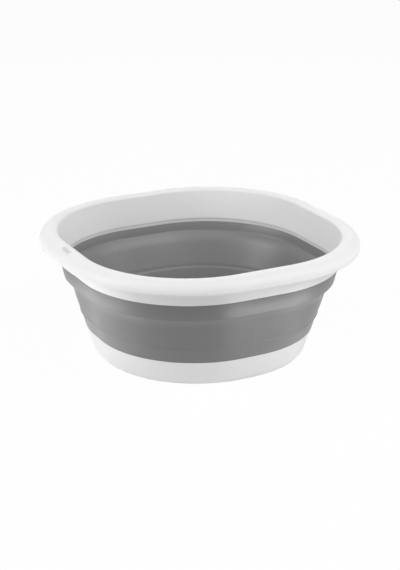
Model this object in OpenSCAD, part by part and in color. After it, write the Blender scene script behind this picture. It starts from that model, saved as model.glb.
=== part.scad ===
// Fold-flat washing up bowl: a stiff rim and a stiff base joined by one soft wall.
// The wall has three bands. The middle one turns inside out when the bowl is pressed flat.
// The origin is the middle of the underside, and the bowl stands open on z = 0.
// Every half width is measured from the middle to the flat of a side.

/* [Plan] */
// Width of the bowl over the rim, the same both ways
rim_width = 370; // [330:1:420]
// Length of the straight run in the middle of each side, at the ground
ground_flat = 13.4; // [8:0.2:30]
// How far the corners' centres move outward for each millimetre of height
corner_lean = 0.18; // [0.12:0.01:0.22]

/* [Rim] */
// Width of the flange, from its outer edge to the mouth
flange_width = 23.5; // [20:0.5:26]
// Distance from the mouth to the crest of the flange
crest_inset = 8.5; // [5:0.5:11]
// How far the flange's outer edge hangs below the crest
flange_drop = 15; // [10:0.5:22]
// Thickness of the flange
flange_thickness = 2.6; // [1.8:0.1:3.4]
// How far the flange rounds down from its crest to the mouth
mouth_drop = 2.5; // [1.5:0.5:4]
// Height of the rim above the soft wall's outer edge
rim_height = 34; // [28:0.5:45]
// Distance from the flange's outer edge in to the skirt's foot
skirt_inset = 22.1; // [20.5:0.1:25]
// How far the skirt's foot stands out past the soft wall
skirt_step = 0.9; // [0.4:0.1:1.8]
// Thickness of the skirt where it leaves the flange
skirt_thickness = 3; // [2.2:0.1:3.6]
// Thickness of the skirt at its foot
skirt_foot_thickness = 3.9; // [3.4:0.1:4.4]
// Thickness of the rim's tongue inside the soft wall
rim_tongue_thickness = 1.2; // [0.9:0.1:1.5]
// How far the rim shows below its outer edge, on the inside
rim_tongue_height = 9.5; // [6:0.5:13]
// Height of the shallow relief around the tongue's inner face
relief_height = 5; // [3:0.5:6]
// Depth of that relief
relief_depth = 0.5; // [0.2:0.1:0.8]

/* [Hanging slot] */
// Length of the slot along the rim
slot_length = 22; // [16:0.5:40]
// Width of the slot across the flange
slot_width = 8; // [6:0.5:9]
// Distance from the flange's outer edge to the middle of the slot
slot_inset = 12.5; // [11.5:0.5:13.5]

/* [Soft wall] */
// How far the upper band draws in on its way down
upper_band_draft = 3.6; // [2.5:0.1:4.2]
// How far the shoulder at the top of the folding band steps in
shoulder_step = 8.8; // [5:0.1:12]
// How far the rest of the folding band draws in
folding_band_draft = 8.2; // [5:0.1:12]
// How far the lower band draws in
lower_band_draft = 4.5; // [3:0.1:7]
// Height of the upper band
upper_band_height = 21; // [17:0.5:28]
// Height of the folding band, hinge to hinge
folding_band_height = 42.5; // [36:0.5:50]
// Height of the lower band
lower_band_height = 20; // [15:0.5:28]
// Height of the shoulder at the top of the folding band
shoulder_height = 10.5; // [8:0.5:14]
// Thickness of the wall's outer leaf, at the rim's skirt
leaf_thickness = 1.3; // [1:0.1:1.6]
// Thickness of the upper band at its foot
upper_band_thickness = 1.6; // [1.4:0.1:2.2]
// Thickness of the folding band between its hinges
folding_band_thickness = 2.2; // [1.8:0.1:2.6]
// Thickness of the lower band at the lip along its top edge
lower_band_thickness = 4.5; // [3.8:0.1:5]
// Thickness of the two living hinges
hinge_thickness = 1.2; // [0.8:0.1:1.5]
// Height over which the folding band thins down to a hinge
hinge_height = 4; // [2.5:0.5:6]
// How far the folding band's foot sits in from the lower band's outer edge
hinge_inset = 0.5; // [0.2:0.1:0.8]
// How far the bead outside the lower band's top edge stands out
bead_step = 0.3; // [0.2:0.1:0.8]
// Height of that bead
bead_height = 2; // [1.5:0.5:3]

/* [Base] */
// Height of the base outside
base_height = 32.5; // [27:0.5:42]
// How far the base's side draws in, down to its rounded bottom edge
base_draft = 6.9; // [4:0.1:10]
// Height of the rounded bottom edge
base_edge_height = 6.5; // [5:0.5:10]
// How far that edge turns in under the side
base_edge_turn = 4.5; // [3.5:0.5:6.5]
// Thickness of the base's side
base_side_thickness = 2.6; // [2.2:0.1:3.2]
// Thickness of the floor
floor_thickness = 2.6; // [2:0.1:3.4]
// Radius where the floor turns up into the side, inside
floor_fillet = 6.5; // [5:0.5:8]
// Height of the standing ring below the floor
foot_height = 1.6; // [1:0.1:3]
// Width of the standing ring
foot_width = 6; // [5:0.5:9]
// How far the standing ring sits in from the rounded bottom edge
foot_inset = 1; // [0.5:0.5:2]
// Thickness of the base's top edge, outside the foot of the soft wall
base_tongue_thickness = 1.3; // [1:0.1:1.5]
// How far the foot of the soft wall reaches down inside the base
base_lap = 6; // [4:0.5:8]

/* [Hidden] */
$fn = 96;

// Levels, from the ground up
crease_z = base_height + lower_band_height;
hinge_z = crease_z + folding_band_height;
wall_top_z = hinge_z + upper_band_height;
crest_z = wall_top_z + rim_height;
lip_z = crest_z - flange_drop;
tongue_z = wall_top_z - rim_tongue_height;
relief_z = tongue_z + relief_height;
lap_z = base_height - base_lap;

// Half widths, from the flange's outer edge inward and down
rim_half = rim_width / 2;
mouth_half = rim_half - flange_width;
crest_half = mouth_half + crest_inset;
skirt_half = rim_half - skirt_inset;
wall_top_half = skirt_half - skirt_step;
upper_band_half = wall_top_half - upper_band_draft;
shoulder_half = upper_band_half - shoulder_step;
crease_half = shoulder_half - folding_band_draft;
base_top_half = crease_half - lower_band_draft;
base_bottom_half = base_top_half - base_draft;
foot_half = base_bottom_half - base_edge_turn;

// Small reliefs and bevels
hinge_relief = 0.6;
hinge_bevel = 1.2;
bead_bevel = 0.5;
fillet_sink = 0.4;

// The corners' centre lines lean outward on their way up, so the base is rounder than the rim
corner_base = ground_flat / 2;
function corner_at(z) = corner_base + corner_lean * z;

// Sections lie on a fine grid, so that a side and its corners share their end points exactly
grid = [0.01, 0.1];
function on_grid(section) =
    [for (q = section) [round(q[0] / grid[0]) * grid[0], round(q[1] / grid[1]) * grid[1]]];

// Straight line between two profile points, read at a height
function along(z, z0, h0, z1, h1) = h0 + (h1 - h0) * (z - z0) / (z1 - z0);
// Quarter of an ellipse from angle a0 to a1
function arc(ch, cz, rh, rz, a0, a1, n) =
    [for (i = [0:n]) let (a = a0 + (a1 - a0) * i / n) [ch + rh * cos(a), cz + rz * sin(a)]];
// Eased step from 0 to 1
function ease(t) = (1 - cos(180 * min(max(t, 0), 1))) / 2;

// A closed wall section carried round the four leaning corners and four sides
module carry_round(profile) {
    section = on_grid(profile);
    low = floor(min([for (q = section) q[1]])) - 1;
    high = ceil(max([for (q = section) q[1]])) + 1;
    for (i = [0:3])
        rotate([0, 0, 90 * i]) {
            multmatrix([[1, 0, corner_lean, corner_base], [0, 1, corner_lean, corner_base], [0, 0, 1, 0]])
                rotate_extrude(angle = 90)
                    polygon([for (q = section) [q[0] - corner_at(q[1]), q[1]]]);
            intersection() {
                translate([0, rim_half, 0])
                    rotate([90, 0, 0])
                        linear_extrude(height = rim_width)
                            polygon(section);
                rotate([90, 0, 90])
                    linear_extrude(height = rim_width)
                        polygon([
                            [-corner_at(low), low],
                            [corner_at(low), low],
                            [corner_at(high), high],
                            [-corner_at(high), high]
                        ]);
            }
        }
}

// Plan outline at one level, inset to a half width
module outline(half, z) {
    c = corner_at(z);
    r = half - c;
    union() {
        for (x = [-c, c])
            for (y = [-c, c])
                translate([x, y])
                    circle(r);
        square([2 * half, 2 * c], center = true);
        square([2 * c, 2 * half], center = true);
    }
}

// Inner face of the rim, and the face of its tongue that the wall covers
function mouth_face(z) = along(z, crest_z, mouth_half, wall_top_z, skirt_half - skirt_foot_thickness);
tongue_half = mouth_face(tongue_z) + relief_depth;
function tongue_face(z) =
    along(z, tongue_z, tongue_half + rim_tongue_thickness, wall_top_z, wall_top_half - leaf_thickness);

// Flange, mouth, skirt and tongue in one section
rim_section = concat(
    arc(crest_half, lip_z, rim_half - crest_half, flange_drop, 0, 90, 12),
    arc(crest_half, crest_z - mouth_drop, crest_half - mouth_half, mouth_drop, 105, 180, 5),
    [
        [mouth_face(relief_z), relief_z],
        [mouth_face(relief_z - relief_depth) + relief_depth, relief_z - relief_depth],
        [tongue_half, tongue_z],
        [tongue_face(tongue_z), tongue_z],
        [tongue_face(wall_top_z), wall_top_z],
        [skirt_half, wall_top_z],
        [mouth_face(lip_z) + skirt_thickness, lip_z]
    ],
    arc(
        crest_half, lip_z,
        rim_half - crest_half - flange_thickness, flange_drop - flange_thickness,
        110, 0, 12
    )
);

module rim() {
    color([0.95, 0.95, 0.95])
        difference() {
            carry_round(rim_section);
            hanging_slot();
        }
}

module hanging_slot() {
    reach = (slot_length - slot_width) / 2;
    x = rim_half - slot_inset;
    translate([-x, 0, lip_z])
        union() {
            for (y = [-reach, reach])
                translate([0, y, 0])
                    cylinder(d = slot_width, h = flange_drop + flange_thickness);
            translate([-slot_width / 2, -reach, 0])
                cube([slot_width, 2 * reach, flange_drop + flange_thickness]);
        }
}

// Outer faces of the soft wall
hinge_half = upper_band_half - hinge_relief;
function upper_face(z) = along(z, hinge_z, upper_band_half, wall_top_z, wall_top_half);
function below_shoulder(z) = along(z, crease_z, crease_half, hinge_z - shoulder_height, shoulder_half);
function folding_face(z) =
    below_shoulder(z)
    + ease((z - hinge_z + shoulder_height) / shoulder_height) * (hinge_half - below_shoulder(hinge_z));
function lower_face(z) = along(z, base_height, base_top_half, crease_z, crease_half);

upper_section = [
    [upper_face(hinge_z + hinge_bevel), hinge_z + hinge_bevel],
    [upper_face(tongue_z), tongue_z],
    [wall_top_half, wall_top_z],
    [tongue_face(wall_top_z), wall_top_z],
    [tongue_face(tongue_z), tongue_z],
    [tongue_half, tongue_z],
    [upper_face(hinge_z + hinge_bevel) - upper_band_thickness, hinge_z + hinge_bevel],
    [hinge_half - hinge_thickness, hinge_z],
    [hinge_half, hinge_z]
];

module upper_band() {
    color([0.5, 0.5, 0.5])
        carry_round(upper_section);
}

// The folding band thins towards both hinges
function folding_thickness(z) =
    hinge_thickness + (folding_band_thickness - hinge_thickness)
    * min(ease((z - crease_z) / hinge_height), ease((hinge_z - z) / shoulder_height));
function inset_at(z) = ease(1 - (z - crease_z) / hinge_height) * hinge_inset;
folding_steps = 20;
folding_levels = [for (i = [0:folding_steps]) crease_z + folding_band_height * i / folding_steps];
folding_section = concat(
    [for (z = folding_levels) [folding_face(z) - inset_at(z), z]],
    [for (i = [folding_steps:-1:0]) let (z = folding_levels[i])
        [folding_face(z) - inset_at(z) - folding_thickness(z), z]]
);

module folding_band() {
    color([0.52, 0.52, 0.52])
        carry_round(folding_section);
}

// Faces of the base's side, and the lap where the foot of the soft wall sits inside it
function base_face(z) = along(z, base_edge_height, base_bottom_half, base_height, base_top_half);
function base_inner(z) = base_face(z) - base_side_thickness;
function base_tongue_face(z) = base_face(z) - base_tongue_thickness;

bead_z = crease_z - bead_height;
lip_half = crease_half - lower_band_thickness;
lower_section = [
    [base_top_half, base_height],
    [lower_face(bead_z - bead_bevel), bead_z - bead_bevel],
    [lower_face(bead_z) + bead_step, bead_z],
    [crease_half + bead_step, crease_z - bead_bevel],
    [crease_half + bead_step - bead_bevel, crease_z],
    [lip_half + bead_bevel, crease_z],
    [lip_half, crease_z - bead_bevel],
    [base_inner(lap_z), lap_z],
    [base_tongue_face(lap_z), lap_z],
    [base_tongue_face(base_height), base_height]
];

module lower_band() {
    color([0.5, 0.5, 0.5])
        carry_round(lower_section);
}

// Side and rounded edge of the base. Its inner foot ends inside the floor
floor_z = foot_height + floor_thickness;
side_inner = base_bottom_half - base_side_thickness;
fillet_z = floor_z + floor_fillet - fillet_sink;
base_section = concat(
    arc(foot_half, base_edge_height, base_edge_turn, base_edge_height - foot_height / 2, -90, 0, 8),
    [
        [base_top_half, base_height],
        [base_tongue_face(base_height), base_height],
        [base_tongue_face(lap_z), lap_z],
        [base_inner(lap_z), lap_z]
    ],
    arc(side_inner - floor_fillet, fillet_z, floor_fillet, floor_fillet, 0, -90, 6),
    [[side_inner - floor_fillet, foot_height / 2]]
);

module base() {
    color([0.93, 0.93, 0.93])
        union() {
            carry_round(base_section);
            translate([0, 0, foot_height])
                linear_extrude(height = floor_thickness)
                    outline(foot_half + foot_inset, 0);
            linear_extrude(height = foot_height + floor_thickness / 2)
                difference() {
                    outline(foot_half - foot_inset, 0);
                    outline(foot_half - foot_inset - foot_width, 0);
                }
        }
}

rim();
upper_band();
folding_band();
lower_band();
base();
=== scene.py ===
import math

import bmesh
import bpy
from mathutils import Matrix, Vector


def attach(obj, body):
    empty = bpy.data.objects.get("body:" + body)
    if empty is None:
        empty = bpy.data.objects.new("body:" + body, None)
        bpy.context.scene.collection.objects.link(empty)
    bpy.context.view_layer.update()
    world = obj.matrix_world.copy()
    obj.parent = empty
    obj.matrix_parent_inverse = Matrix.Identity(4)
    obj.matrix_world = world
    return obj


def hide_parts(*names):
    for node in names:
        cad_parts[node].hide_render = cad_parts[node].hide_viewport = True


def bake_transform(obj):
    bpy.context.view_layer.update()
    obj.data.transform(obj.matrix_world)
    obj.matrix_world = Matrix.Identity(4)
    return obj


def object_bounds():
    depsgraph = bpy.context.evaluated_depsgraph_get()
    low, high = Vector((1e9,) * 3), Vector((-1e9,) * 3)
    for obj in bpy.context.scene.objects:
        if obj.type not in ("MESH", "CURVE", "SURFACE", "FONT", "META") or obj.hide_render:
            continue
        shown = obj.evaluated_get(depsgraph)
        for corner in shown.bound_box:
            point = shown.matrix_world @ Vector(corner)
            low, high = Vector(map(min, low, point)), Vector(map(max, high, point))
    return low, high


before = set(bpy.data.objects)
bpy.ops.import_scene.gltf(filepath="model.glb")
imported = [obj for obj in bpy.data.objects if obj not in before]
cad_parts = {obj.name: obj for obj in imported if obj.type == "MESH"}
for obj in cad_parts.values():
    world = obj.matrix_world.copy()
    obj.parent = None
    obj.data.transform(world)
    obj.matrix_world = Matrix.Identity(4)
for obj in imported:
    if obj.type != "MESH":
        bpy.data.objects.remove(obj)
cad_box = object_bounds()

# %% [markdown]
# # A washing up bowl that folds flat
# The bowl is three mouldings: a stiff white rim, a stiff white base, and one
# soft grey wall between them that turns inside out when the bowl is pressed
# down. Each is a thin wall carried round a square with big round corners, so
# the whole scene comes from a few wall sections and one way of carrying them.
# Sections are written in millimetres, and each piece is turned into metres
# once, when it is finished.

MM = 0.001
HALF_WIDTH = 185
HEIGHT = 150
low, high = cad_box
print("CAD box (mm):", [round((b - a) * 1000, 1) for a, b in zip(low, high)])
print("nodes:", sorted(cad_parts))

# %% [markdown]
# ## The camera
# The photograph was taken from a little to the left of the front and from
# about twenty degrees above, with a long lens. The direction, distance and
# lens were found by laying the rings of the bowl over the photograph's edges.
# The camera is made first, because every later choice is judged through it.

# %% Camera at the photograph's viewing angle
AZIMUTH = math.radians(-27.18)
ELEVATION = math.radians(20.25)
DISTANCE = 1741.1 * MM
LOOK_HEIGHT = 75.3 * MM
FINE_AIM = Vector((1.93 * MM, 1.45 * MM, 0))
SENSOR_WIDTH = 36
LENS = 88.71

back = Vector((
    math.sin(AZIMUTH) * math.cos(ELEVATION),
    -math.cos(AZIMUTH) * math.cos(ELEVATION),
    math.sin(ELEVATION),
))
facing = back.to_track_quat("Z", "Y")
target = Vector((0, 0, LOOK_HEIGHT)) + facing @ FINE_AIM

camera_data = bpy.data.cameras.new("camera")
camera_data.sensor_width = SENSOR_WIDTH
camera_data.lens = LENS
camera = bpy.data.objects.new("camera", camera_data)
camera.location = target + back * DISTANCE
camera.rotation_euler = facing.to_euler()
bpy.context.scene.collection.objects.link(camera)
bpy.context.scene.camera = camera
print("camera at (mm):", [round(v * 1000) for v in camera.location])

# %% [markdown]
# ## The plan that every piece shares
# Seen from above, each level of the bowl is a square with round corners. The
# centres of the corners lean outward on the way up, so the base is almost
# round and the rim is squarer. A sheared quarter turn gives exactly that: the
# section is leaned back upright, spun by 90 degrees, and leaned out again.

# %% The lean of the corners
CORNER_BASE = 6.7
CORNER_LEAN = 0.18
UPRIGHT = Matrix((
    (1, 0, -CORNER_LEAN, -CORNER_BASE),
    (0, 1, 0, 0),
    (0, 0, 1, 0),
    (0, 0, 0, 1),
))
LEANING = Matrix((
    (1, 0, CORNER_LEAN, CORNER_BASE),
    (0, 1, CORNER_LEAN, CORNER_BASE),
    (0, 0, 1, 0),
    (0, 0, 0, 1),
))
top_centre = CORNER_BASE + CORNER_LEAN * HEIGHT
print("corner centres at the ground and the crest:", CORNER_BASE, round(top_centre, 1))

# %% [markdown]
# ## Drawing a section
# A section is drawn the way a moulding is drawn on paper: sharp points first,
# then each corner gets its radius. The points go into a mesh face, because
# the bevel operator rounds the corners of a face cleanly. A rounding is given
# as its reach along both edges. A reach of "all" runs almost to the ends of
# the two edges, which turns the corner into a quarter of an ellipse. Points
# that nearly meet are merged afterwards.

# %% Draw and round a section
NEARLY_ALL = 99.9
WHOLE_STEPS = 14
CORNER_STEPS = 4
SMALL_STEPS = 2
SMALL_REACH = 0.6
SAME_POINT = 0.04


def corner_steps(reach):
    if reach == "all":
        return WHOLE_STEPS
    return SMALL_STEPS if reach < SMALL_REACH else CORNER_STEPS


def draw_section(bm, points):
    """Each point is a half width, a height and the reach of its rounding."""
    corners = [bm.verts.new((x, 0, z)) for x, z, reach in points]
    bm.faces.new(corners)
    for corner, (x, z, reach) in zip(corners, points):
        if not reach:
            continue
        whole = reach == "all"
        bmesh.ops.bevel(
            bm,
            geom=[corner],
            offset=NEARLY_ALL if whole else reach,
            offset_type="PERCENT" if whole else "OFFSET",
            segments=corner_steps(reach),
            profile=0.5,
            affect="VERTICES",
            clamp_overlap=False,
            material=-1,
        )
    bmesh.ops.remove_doubles(bm, verts=bm.verts, dist=SAME_POINT)


print("steps in a whole, a plain and a small corner:", WHOLE_STEPS, CORNER_STEPS, SMALL_STEPS)

# %% [markdown]
# A section that is carried round is a line of edges, so its face goes. The
# floor of the base is flat and needs no section of its own: the line is left
# open there, and the hole is filled at the end.

# %% Open a section
GAP_REACH = 1


def near_gap(edge, gaps):
    middle = (edge.verts[0].co + edge.verts[1].co) / 2
    return any((Vector((x, 0, z)) - middle).length < GAP_REACH for x, z in gaps)


def open_section(bm, gaps=()):
    bmesh.ops.delete(bm, geom=bm.faces[:], context="FACES_ONLY")
    unwanted = [edge for edge in bm.edges if near_gap(edge, gaps)]
    bmesh.ops.delete(bm, geom=unwanted, context="EDGES")


print("an edge is left out within (mm):", GAP_REACH)

# %% [markdown]
# ## Carrying it round
# Spin makes one corner. Extruding the section's two ends, and flattening the
# new points onto the planes of symmetry, adds half a flat side at each end.
# That is a quarter of the bowl, and three turned copies close it.

# %% Carry a section round the plan
CORNER_TURN_STEPS = 30
SEAM = 0.001


def add_half_side(bm, edges, flatten):
    grown = bmesh.ops.extrude_edge_only(bm, edges=edges)["geom"]
    ends = [item for item in grown if isinstance(item, bmesh.types.BMVert)]
    bmesh.ops.scale(bm, vec=flatten, verts=ends)


def carry_round(bm):
    bm.transform(UPRIGHT)
    first = bm.edges[:]
    spun = bmesh.ops.spin(
        bm, geom=bm.verts[:] + first, cent=(0, 0, 0), axis=(0, 0, 1),
        angle=math.pi / 2, steps=CORNER_TURN_STEPS,
    )
    last = [item for item in spun["geom_last"] if isinstance(item, bmesh.types.BMEdge)]
    bm.transform(LEANING)
    add_half_side(bm, first, (1, 0, 1))
    add_half_side(bm, last, (0, 1, 1))
    quarter = bm.verts[:] + bm.edges[:] + bm.faces[:]
    for turn in (1, 2, 3):
        copied = bmesh.ops.duplicate(bm, geom=quarter)["geom"]
        bmesh.ops.rotate(
            bm,
            cent=(0, 0, 0),
            matrix=Matrix.Rotation(turn * math.pi / 2, 3, "Z"),
            verts=[item for item in copied if isinstance(item, bmesh.types.BMVert)],
        )
    bmesh.ops.remove_doubles(bm, verts=bm.verts, dist=SEAM)


print("steps in each corner's quarter turn:", CORNER_TURN_STEPS)

# %% [markdown]
# ## From section to piece
# Every piece ends the same way: holes closed, faces turned outward, lengths
# in metres, and smooth shading that stops at real edges.

# %% Finish a piece
SHARP = math.radians(40)


def finish_piece(bm, name):
    holes = [edge for edge in bm.edges if edge.is_boundary]
    if holes:
        bmesh.ops.holes_fill(bm, edges=holes, sides=0)
    bmesh.ops.recalc_face_normals(bm, faces=bm.faces)
    bmesh.ops.scale(bm, vec=(MM, MM, MM), verts=bm.verts)
    mesh = bpy.data.meshes.new(name)
    bm.to_mesh(mesh)
    bm.free()
    mesh.shade_smooth()
    mesh.set_sharp_from_angle(angle=SHARP)
    piece = bpy.data.objects.new(name, mesh)
    bpy.context.scene.collection.objects.link(piece)
    size = [round(v * 1000, 1) for v in piece.dimensions]
    print(name, "faces:", len(mesh.polygons), "size (mm):", size)
    return piece


def moulding(name, points, gaps=()):
    bm = bmesh.new()
    draw_section(bm, points)
    open_section(bm, gaps)
    carry_round(bm)
    return finish_piece(bm, name)


print("edges stay sharp above (degrees):", round(math.degrees(SHARP)))

# %% [markdown]
# ## The rim
# The rim is one white moulding: a rolled flange to hold the bowl by, a mouth
# that turns down into a skirt, and a thin tongue that the soft wall is moulded
# over. The flange is a quarter of an ellipse outside and a smaller one at the
# mouth, so those corner points have the reach "all". On the inside, the tongue
# steps back from the mouth's face by about half a millimetre. That shallow
# relief shows as a thin line above the grey wall.

# %% Rim section
def along(z, z0, x0, z1, x1):
    """The half width at height z on the line from (x0, z0) to (x1, z1)."""
    return x0 + (x1 - x0) * (z - z0) / (z1 - z0)


def mouth_face(z):
    return along(z, HEIGHT, 161.5, 116, 159)


RIM = [
    (HALF_WIDTH, 135, 1.2),
    (HALF_WIDTH, HEIGHT, "all"),
    (170, HEIGHT, 0),
    (161.5, HEIGHT, "all"),
    (161.5, 147.5, 0),
    (mouth_face(111.3), 111.3, 0.3),
    (159.3, 110.9, 0.2),
    (159, 106.4, 0),
    (160.2, 106.4, 0),
    (160.7, 115, 0),
    (162.8, 115, 0.4),
    (mouth_face(135) + 3, 135, 2),
    (165.8, 146.9, 1.5),
    (170, 147.4, 0),
    (182.4, 147.4, "all"),
    (182.4, 135, 0.5),
]
rim = moulding("white_rim", RIM)
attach(rim, "rim_body")
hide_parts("rim")

# %% [markdown]
# ## The base
# The base is the other white moulding: a shallow dish with a rounded edge and
# a standing ring underneath. Its thin top edge leaves room on the inside for
# the foot of the soft wall. The section is left open at both ends, and the two
# holes that are left, the floor and the recess under it, are filled flat.

# %% Base section
BASE = [
    (110, 1.6, 0),
    (118.5, 1.6, 0.4),
    (118.5, 0, 0.5),
    (124.5, 0, 0.5),
    (124.5, 0.8, 0.3),
    (130, 0.8, "all"),
    (130, 6.5, 0),
    (136.9, 32.5, 0.3),
    (135.6, 32.5, 0),
    (134.0, 26.5, 0),
    (132.7, 26.5, 0.2),
    (125.4, 4.2, 6.5),
    (110, 4.2, 0),
]
base = moulding("white_base", BASE, gaps=[(110, 2.9)])
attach(base, "base_body")
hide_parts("base")

# %% [markdown]
# ## The soft wall
# The wall is one grey moulding with three bands. The upper band hangs from the
# rim, the lower band stands on the base, and the middle one turns inside out
# between them. They are three pieces here, because the first two ride on stiff
# bodies and the middle one bends. The upper band is short and almost straight.

# %% Upper band
UPPER = [
    (161.8, 115, 0.3),
    (160.7, 115, 0),
    (160.2, 106.5, 0),
    (158.8, 106.5, 0.2),
    (157.5, 95, 0),
    (158.4, 95, 0),
]
upper = moulding("grey_upper_band", UPPER)
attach(upper, "rim_body")
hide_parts("upper_band")

# %% [markdown]
# The lower band laps inside the base's top edge and ends above in a small
# bead, the thin line that runs round the lower part of the wall.

# %% Lower band
def lower_face(z):
    return along(z, 32.5, 136.9, 52.5, 141.4)


LOWER = [
    (136.9, 32.5, 0.3),
    (lower_face(49.9), 49.9, 0.3),
    (142.3, 50.7, 0.3),
    (142.4, 51.3, 0.3),
    (142.1, 52.7, 0),
    (139.1, 52.4, 0),
    (138.7, 51.1, 0.3),
    (136.6, 49.9, 0.7),
    (132.7, 26.5, 0),
    (134.0, 26.5, 0),
    (135.6, 32.5, 0),
]
lower = moulding("grey_lower_band", LOWER)
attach(lower, "base_body")
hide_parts("lower_band")

# %% [markdown]
# The folding band steps in at a rounded shoulder and then slopes to the bead.
# It thins towards both ends, as a living hinge does. In the bowl it turns
# inside out between the rim and the base; here it stands upright and rides on no body.

# %% Folding band
FOLDING = [
    (158.3, 96, 0),
    (157.7, 96, 0),
    (157.2, 94.7, 0.3),
    (150.5, 88, 7),
    (144.2, 68, 0),
    (139.6, 54.5, 1.2),
    (139.2, 51.8, 0),
    (140.7, 51.8, 0),
    (142.1, 52.7, 0),
    (146, 68, 0),
    (149.6, 84.5, 6),
    (155.6, 91.8, 3),
    (158.3, 95, 0.6),
]
folding = moulding("grey_folding_band", FOLDING)
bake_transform(folding)
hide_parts("folding_band")

# %% [markdown]
# ## The hanging slot
# One side of the flange has a small oblong slot, so the bowl can hang on a
# hook. It is cut with a Boolean modifier that is applied at once. The cutter
# is a circle whose two halves are pulled apart and extruded, which is what an
# oblong hole is.

# %% The cutter
SLOT_LENGTH, SLOT_WIDTH, SLOT_INSET = 22, 8, 12.5
SLOT_SEGMENTS = 32
CUTTER_FOOT, CUTTER_HEIGHT = 136, 20


def oblong_cutter():
    bm = bmesh.new()
    bmesh.ops.create_circle(bm, cap_ends=True, segments=SLOT_SEGMENTS, radius=SLOT_WIDTH / 2)
    half_step = Matrix.Rotation(math.pi / SLOT_SEGMENTS, 3, "Z")
    bmesh.ops.rotate(bm, cent=(0, 0, 0), matrix=half_step, verts=bm.verts)
    pull = (SLOT_LENGTH - SLOT_WIDTH) / 2
    for side in (-1, 1):
        half = [vert for vert in bm.verts if vert.co.y * side > 0]
        bmesh.ops.translate(bm, vec=(0, side * pull, 0), verts=half)
    raised = bmesh.ops.extrude_face_region(bm, geom=bm.faces[:])["geom"]
    top = [item for item in raised if isinstance(item, bmesh.types.BMVert)]
    bmesh.ops.translate(bm, vec=(0, 0, CUTTER_HEIGHT), verts=top)
    bmesh.ops.translate(bm, vec=(SLOT_INSET - HALF_WIDTH, 0, CUTTER_FOOT), verts=bm.verts)
    return finish_piece(bm, "slot_cutter")


cutter = oblong_cutter()

# %% Cut the slot
cut = rim.modifiers.new("slot", "BOOLEAN")
cut.object = cutter
cut.operation = "DIFFERENCE"
cut.solver = "EXACT"
cut_rim = rim.evaluated_get(bpy.context.evaluated_depsgraph_get())
rim.data = bpy.data.meshes.new_from_object(cut_rim)
rim.modifiers.clear()
bpy.data.objects.remove(cutter)
print("rim faces with the slot:", len(rim.data.polygons))

# %% [markdown]
# A moulded slot has no knife edges, so the edges that the cut leaves get a
# small radius. They are found by their place and by the angle between their
# two faces.

# %% Round the slot's edges
SLOT_ROUNDING = 0.5 * MM
SLOT_MARGIN = 0.3
SLOT_FLOOR = 140 * MM
CUT_ANGLE = math.radians(50)
slot_x = (SLOT_INSET - HALF_WIDTH) * MM


def in_slot(vert):
    across = abs(vert.co.x - slot_x) < (SLOT_WIDTH / 2 + SLOT_MARGIN) * MM
    lengthwise = abs(vert.co.y) < (SLOT_LENGTH / 2 + SLOT_MARGIN) * MM
    return across and lengthwise and vert.co.z > SLOT_FLOOR


bm = bmesh.new()
bm.from_mesh(rim.data)
slot_edges = [
    edge for edge in bm.edges
    if len(edge.link_faces) == 2 and edge.calc_face_angle() > CUT_ANGLE
    and all(in_slot(vert) for vert in edge.verts)
]
bmesh.ops.bevel(
    bm, geom=slot_edges, offset=SLOT_ROUNDING, offset_type="OFFSET", segments=2,
    profile=0.5, affect="EDGES", clamp_overlap=True, material=-1,
)
bm.to_mesh(rim.data)
bm.free()
rim.data.shade_smooth()
rim.data.set_sharp_from_angle(angle=SHARP)
print("edges rounded round the slot:", len(slot_edges), "faces now:", len(rim.data.polygons))

# %% [markdown]
# ## Finishes
# Two finishes make the whole bowl. The stiff mouldings are satin
# polypropylene: white, with a faint drift in tone and gloss. The wall is
# thermoplastic rubber: grey and duller, with the fine etched grain of its
# mould, and so soft that its face is never quite even. Both need grain, waves
# and drift, so these are node groups that are built once and placed in both
# materials. The first lays fine grain on slow waves, one bump on the other.

# %% A start for every group
def node_group(name, inputs, outputs):
    group = bpy.data.node_groups.new(name, "ShaderNodeTree")
    for title, kind, value in inputs:
        socket = group.interface.new_socket(title, in_out="INPUT", socket_type=kind)
        socket.default_value = value
    for title, kind in outputs:
        group.interface.new_socket(title, in_out="OUTPUT", socket_type=kind)
    start = group.nodes.new("NodeGroupInput")
    end = group.nodes.new("NodeGroupOutput")
    print(name, "takes:", [title for title, kind, value in inputs])
    return group, start, end


# %% Mould grain on slow waves
GRAIN_HEIGHT = 0.0002
WAVE_HEIGHT = 0.004
grain, start, end = node_group(
    "mould_grain",
    [
        ("Fineness", "NodeSocketFloat", 900.0),
        ("Strength", "NodeSocketFloat", 0.1),
        ("Waves", "NodeSocketFloat", 16.0),
        ("Waviness", "NodeSocketFloat", 0.1),
    ],
    [("Normal", "NodeSocketVector")],
)
place = grain.nodes.new("ShaderNodeTexCoord")
fine = grain.nodes.new("ShaderNodeTexNoise")
fine.inputs["Detail"].default_value = 3
grain.links.new(place.outputs["Object"], fine.inputs["Vector"])
grain.links.new(start.outputs["Fineness"], fine.inputs["Scale"])
bump = grain.nodes.new("ShaderNodeBump")
bump.inputs["Distance"].default_value = GRAIN_HEIGHT
grain.links.new(start.outputs["Strength"], bump.inputs["Strength"])
grain.links.new(fine.outputs["Fac"], bump.inputs["Height"])
broad = grain.nodes.new("ShaderNodeTexNoise")
broad.inputs["Detail"].default_value = 1
grain.links.new(place.outputs["Object"], broad.inputs["Vector"])
grain.links.new(start.outputs["Waves"], broad.inputs["Scale"])
swell = grain.nodes.new("ShaderNodeBump")
swell.inputs["Distance"].default_value = WAVE_HEIGHT
grain.links.new(start.outputs["Waviness"], swell.inputs["Strength"])
grain.links.new(broad.outputs["Fac"], swell.inputs["Height"])
grain.links.new(swell.outputs["Normal"], bump.inputs["Normal"])
grain.links.new(bump.outputs["Normal"], end.inputs["Normal"])

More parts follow.
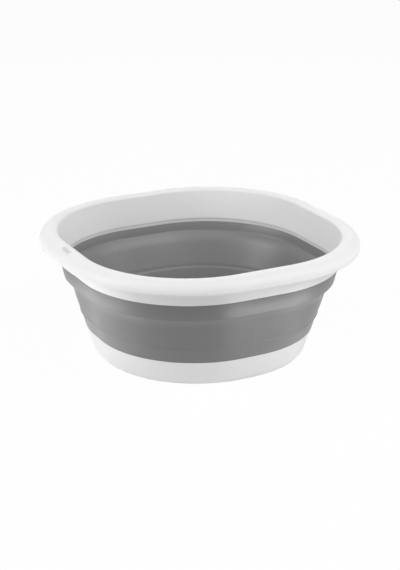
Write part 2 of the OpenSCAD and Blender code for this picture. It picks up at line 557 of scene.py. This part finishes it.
# %% [markdown]
# A moulding is never one exact tone and gloss. The drift is a slow noise, as
# wide as a hand, between two tones and two values of roughness that lie close
# together.

# %% Drift in tone and gloss
CLOUD_LOW, CLOUD_HIGH = 0.3, 0.7
drift, start, end = node_group(
    "moulding_drift",
    [
        ("Size", "NodeSocketFloat", 9.0),
        ("Tone A", "NodeSocketColor", (1, 1, 1, 1)),
        ("Tone B", "NodeSocketColor", (1, 1, 1, 1)),
        ("Smooth", "NodeSocketFloat", 0.3),
        ("Dull", "NodeSocketFloat", 0.4),
    ],
    [("Tone", "NodeSocketColor"), ("Roughness", "NodeSocketFloat")],
)
place = drift.nodes.new("ShaderNodeTexCoord")
cloud = drift.nodes.new("ShaderNodeTexNoise")
cloud.inputs["Detail"].default_value = 4
drift.links.new(place.outputs["Object"], cloud.inputs["Vector"])
drift.links.new(start.outputs["Size"], cloud.inputs["Scale"])
tones = drift.nodes.new("ShaderNodeMix")
tones.data_type = "RGBA"
drift.links.new(cloud.outputs["Fac"], tones.inputs["Factor"])
drift.links.new(start.outputs["Tone A"], tones.inputs["A"])
drift.links.new(start.outputs["Tone B"], tones.inputs["B"])
dulling = drift.nodes.new("ShaderNodeMapRange")
drift.links.new(cloud.outputs["Fac"], dulling.inputs["Value"])
dulling.inputs["From Min"].default_value = CLOUD_LOW
dulling.inputs["From Max"].default_value = CLOUD_HIGH
drift.links.new(start.outputs["Smooth"], dulling.inputs["To Min"])
drift.links.new(start.outputs["Dull"], dulling.inputs["To Max"])
drift.links.new(tones.outputs["Result"], end.inputs["Tone"])
drift.links.new(dulling.outputs["Result"], end.inputs["Roughness"])

# %% [markdown]
# Just above the grey wall the rim is a thin tongue in a shallow recess, and the
# third group paints shade onto the white there. It mixes in a second, darker
# tone between two heights: one mask rises at the bottom, one falls at the top,
# and their product is the strip. Its heights are in metres, as Object coordinates are.

# %% Painted shade at the thin tongue
STRIP_EDGE = 0.0002
# Painted shade: this group darkens the white between two heights.
tongue, start, end = node_group(
    "painted_tongue_shade",
    [
        ("Unshaded", "NodeSocketColor", (1, 1, 1, 1)),
        ("Shaded", "NodeSocketColor", (0.5, 0.5, 0.5, 1)),
        ("Bottom", "NodeSocketFloat", 0.1),
        ("Top", "NodeSocketFloat", 0.2),
    ],
    [("Tone", "NodeSocketColor")],
)
place = tongue.nodes.new("ShaderNodeTexCoord")
levels = tongue.nodes.new("ShaderNodeSeparateXYZ")
tongue.links.new(place.outputs["Object"], levels.inputs["Vector"])
masks = []
for edge, spread in (("Bottom", STRIP_EDGE), ("Top", -STRIP_EDGE)):
    mask = tongue.nodes.new("ShaderNodeMapRange")
    tongue.links.new(levels.outputs["Z"], mask.inputs["Value"])
    tongue.links.new(start.outputs[edge], mask.inputs["From Min"])
    shift = tongue.nodes.new("ShaderNodeMath")
    shift.inputs[1].default_value = spread
    tongue.links.new(start.outputs[edge], shift.inputs[0])
    tongue.links.new(shift.outputs[0], mask.inputs["From Max"])
    masks.append(mask)
between = tongue.nodes.new("ShaderNodeMath")
between.operation = "MULTIPLY"
tongue.links.new(masks[0].outputs["Result"], between.inputs[0])
tongue.links.new(masks[1].outputs["Result"], between.inputs[1])
shown = tongue.nodes.new("ShaderNodeMix")
shown.data_type = "RGBA"
tongue.links.new(between.outputs[0], shown.inputs["Factor"])
tongue.links.new(start.outputs["Unshaded"], shown.inputs["A"])
tongue.links.new(start.outputs["Shaded"], shown.inputs["B"])
tongue.links.new(shown.outputs["Result"], end.inputs["Tone"])

# %% [markdown]
# Both materials are the same shader with different values. What is even over
# the whole surface, such as the strength of the reflections, is set on the
# shader itself, and only tone, roughness and normal come from the groups.

# %% Two materials
POLYMER_IOR = 1.49


def moulded(name, tones, roughness, gloss, fineness, strength, waviness):
    material = bpy.data.materials.new(name)
    material.use_nodes = True
    tree = material.node_tree
    shader = tree.nodes["Principled BSDF"]
    shader.inputs["IOR"].default_value = POLYMER_IOR
    shader.inputs["Specular IOR Level"].default_value = gloss
    slow = tree.nodes.new("ShaderNodeGroup")
    slow.node_tree = drift
    for title, tone in zip(("Tone A", "Tone B"), tones):
        slow.inputs[title].default_value = (tone, tone, tone, 1)
    for title, value in zip(("Smooth", "Dull"), roughness):
        slow.inputs[title].default_value = value
    skin = tree.nodes.new("ShaderNodeGroup")
    skin.node_tree = grain
    skin.inputs["Fineness"].default_value = fineness
    skin.inputs["Strength"].default_value = strength
    skin.inputs["Waviness"].default_value = waviness
    tree.links.new(slow.outputs["Tone"], shader.inputs["Base Color"])
    tree.links.new(slow.outputs["Roughness"], shader.inputs["Roughness"])
    tree.links.new(skin.outputs["Normal"], shader.inputs["Normal"])
    return material


white = moulded(
    "white_polypropylene", tones=(0.89, 0.91), roughness=(0.38, 0.44), gloss=0.3,
    fineness=700, strength=0.05, waviness=0.1,
)
grey = moulded(
    "grey_rubber", tones=(0.195, 0.21), roughness=(0.38, 0.44), gloss=0.5,
    fineness=1100, strength=0.12, waviness=0.5,
)
print("materials:", white.name, grey.name)

# %% [markdown]
# Only the white needs the strip. Its group goes between the drift and the base
# colour: the drift's tone is kept outside the strip, and inside it a greyer tone
# is painted in as shade. The base is white too, but it ends far below the strip.

# %% Place the painted shade strip, then dress the pieces
# Painted shade: the greyer tone and the heights of the strip above the grey wall.
PAINTED_SHADE_TONE = 0.66
STRIP_BOTTOM, STRIP_TOP = 0.1055, 0.1112
tree = white.node_tree
shade_strip = tree.nodes.new("ShaderNodeGroup")
shade_strip.node_tree = tongue
shade_strip.inputs["Shaded"].default_value = (PAINTED_SHADE_TONE, PAINTED_SHADE_TONE, PAINTED_SHADE_TONE, 1)
shade_strip.inputs["Bottom"].default_value = STRIP_BOTTOM
shade_strip.inputs["Top"].default_value = STRIP_TOP
shader = tree.nodes["Principled BSDF"]
tree.links.new(shader.inputs["Base Color"].links[0].from_socket, shade_strip.inputs["Unshaded"])
tree.links.new(shade_strip.outputs["Tone"], shader.inputs["Base Color"])
dressed = ((rim, white), (base, white), (upper, grey), (lower, grey), (folding, grey))
for piece, finish in dressed:
    piece.data.materials.clear()
    piece.data.materials.append(finish)
    print(piece.name, "is", finish.name)

# %% [markdown]
# ## Floor and backdrop
# The photograph is a cut-out on pure white. The world and the floor therefore
# look white to the camera and in reflections, and only their dimmer side lights
# the bowl. The floor keeps a trace of its own shading, so the bowl still
# stands on something.

# %% White to the eye
def seen_share(tree, strength):
    """Strength for camera, glossy and transmission rays, and 0 for the rest."""
    paths = tree.nodes.new("ShaderNodeLightPath")
    total = paths.outputs["Is Camera Ray"]
    for other in ("Is Glossy Ray", "Is Transmission Ray"):
        either = tree.nodes.new("ShaderNodeMath")
        either.operation = "MAXIMUM"
        tree.links.new(total, either.inputs[0])
        tree.links.new(paths.outputs[other], either.inputs[1])
        total = either.outputs[0]
    share = tree.nodes.new("ShaderNodeMath")
    share.operation = "MULTIPLY"
    share.inputs[1].default_value = strength
    tree.links.new(total, share.inputs[0])
    return share.outputs[0]


def mix_for_eye(tree, lit, eye, strength, output):
    mix = tree.nodes.new("ShaderNodeMixShader")
    tree.links.new(seen_share(tree, strength), mix.inputs[0])
    tree.links.new(lit.outputs[0], mix.inputs[1])
    tree.links.new(eye.outputs[0], mix.inputs[2])
    tree.links.new(mix.outputs[0], output.inputs["Surface"])


# %% World
WORLD_FILL = 0.07
world = bpy.data.worlds.new("studio")
bpy.context.scene.world = world
world.use_nodes = True
tree = world.node_tree
fill = tree.nodes["Background"]
fill.inputs["Color"].default_value = (1, 1, 1, 1)
fill.inputs["Strength"].default_value = WORLD_FILL
paper = tree.nodes.new("ShaderNodeBackground")
paper.inputs["Color"].default_value = (1, 1, 1, 1)
mix_for_eye(tree, fill, paper, 1.0, tree.nodes["World Output"])
print("world fill:", WORLD_FILL)

# %% Floor
FLOOR_REACH = 3
FLOOR_WHITE = 0.9
FLOOR_ROUGHNESS = 0.9
FLOOR_GLOW = 0.965
bm = bmesh.new()
bmesh.ops.create_grid(bm, x_segments=1, y_segments=1, size=FLOOR_REACH)
floor_mesh = bpy.data.meshes.new("floor")
bm.to_mesh(floor_mesh)
bm.free()
floor = bpy.data.objects.new("floor", floor_mesh)
bpy.context.scene.collection.objects.link(floor)
paper_floor = bpy.data.materials.new("white_floor")
paper_floor.use_nodes = True
tree = paper_floor.node_tree
matt = tree.nodes["Principled BSDF"]
matt.inputs["Base Color"].default_value = (FLOOR_WHITE, FLOOR_WHITE, FLOOR_WHITE, 1)
matt.inputs["Roughness"].default_value = FLOOR_ROUGHNESS
glow = tree.nodes.new("ShaderNodeEmission")
mix_for_eye(tree, matt, glow, FLOOR_GLOW, tree.nodes["Material Output"])
floor_mesh.materials.append(paper_floor)
print("floor across (m):", 2 * FLOOR_REACH)

# %% [markdown]
# ## Softboxes
# The shading fits two large soft sources, one at the left and one at the front
# right, with weaker ones high in front, at the right and behind. Each was
# rendered alone, they were weighed together to fit the photograph, and their
# strengths were then adjusted. A softbox is described by where it
# hangs, in degrees and metres, and by how bright its face looks, where 1 is
# as bright as white paper.

# %% Softboxes
AIM_HEIGHT = 0.08


def area_lamp(name, width, height, brightness):
    light = bpy.data.lights.new(name, "AREA")
    light.shape = "RECTANGLE"
    light.size = width
    light.size_y = height
    light.energy = math.pi * width * height * brightness
    lamp = bpy.data.objects.new(name, light)
    bpy.context.scene.collection.objects.link(lamp)
    print(name, "energy:", round(light.energy, 2))
    return lamp


def softbox(name, azimuth, elevation, distance, width, height, brightness):
    around, up = math.radians(azimuth), math.radians(elevation)
    towards = Vector((
        math.sin(around) * math.cos(up),
        -math.cos(around) * math.cos(up),
        math.sin(up),
    ))
    lamp = area_lamp(name, width, height, brightness)
    lamp.location = Vector((0, 0, AIM_HEIGHT)) + towards * distance
    lamp.rotation_euler = towards.to_track_quat("Z", "Y").to_euler()


softbox("left_softbox", -100, 28, 1.6, 1.1, 1.0, 4.5)
softbox("front_softbox", -27, 62, 1.9, 1.2, 1.0, 1.25)
softbox("right_softbox", 35, 42, 1.6, 1.1, 1.0, 3.95)
softbox("right_side_softbox", 60, 28, 1.6, 1.1, 1.0, 0.8)
softbox("back_softbox", 153, 30, 1.7, 1.6, 1.3, 0.7)

# %% [markdown]
# ## Bright table
# The soft highlights on the left and right of the grey wall are reflections of
# the lit table beside the bowl, because the wall leans over it. Four strips
# just above the floor face up and stand in for that table, a bright far one
# and a weak near one on each side. They are hidden from the camera and from
# diffuse light, so they add only reflections and don't light the white base.

# %% Strips of bright table
STRIP_LIFT = 0.002


def table_strip(name, azimuth, radius, across, length, brightness):
    around = math.radians(azimuth)
    lamp = area_lamp(name, length, across, brightness)
    lamp.location = (math.sin(around) * radius, -math.cos(around) * radius, STRIP_LIFT)
    lamp.rotation_euler = (math.pi, 0, around)
    lamp.visible_camera = False
    lamp.visible_diffuse = False


table_strip("left_table_strip", -102, 0.31, 0.12, 0.28, 3.6)
table_strip("left_near_strip", -97, 0.19, 0.12, 0.20, 0.5)
table_strip("right_table_strip", 24, 0.32, 0.12, 0.26, 6.4)
table_strip("right_near_strip", 20, 0.20, 0.12, 0.18, 0.7)

# %% [markdown]
# ## The view transform
# The render uses the Standard view transform, so colours are shown without a film curve.
# The visual model has to stay inside the CAD model's box.

# %% Standard view transform
bpy.context.scene.view_settings.view_transform = "Standard"
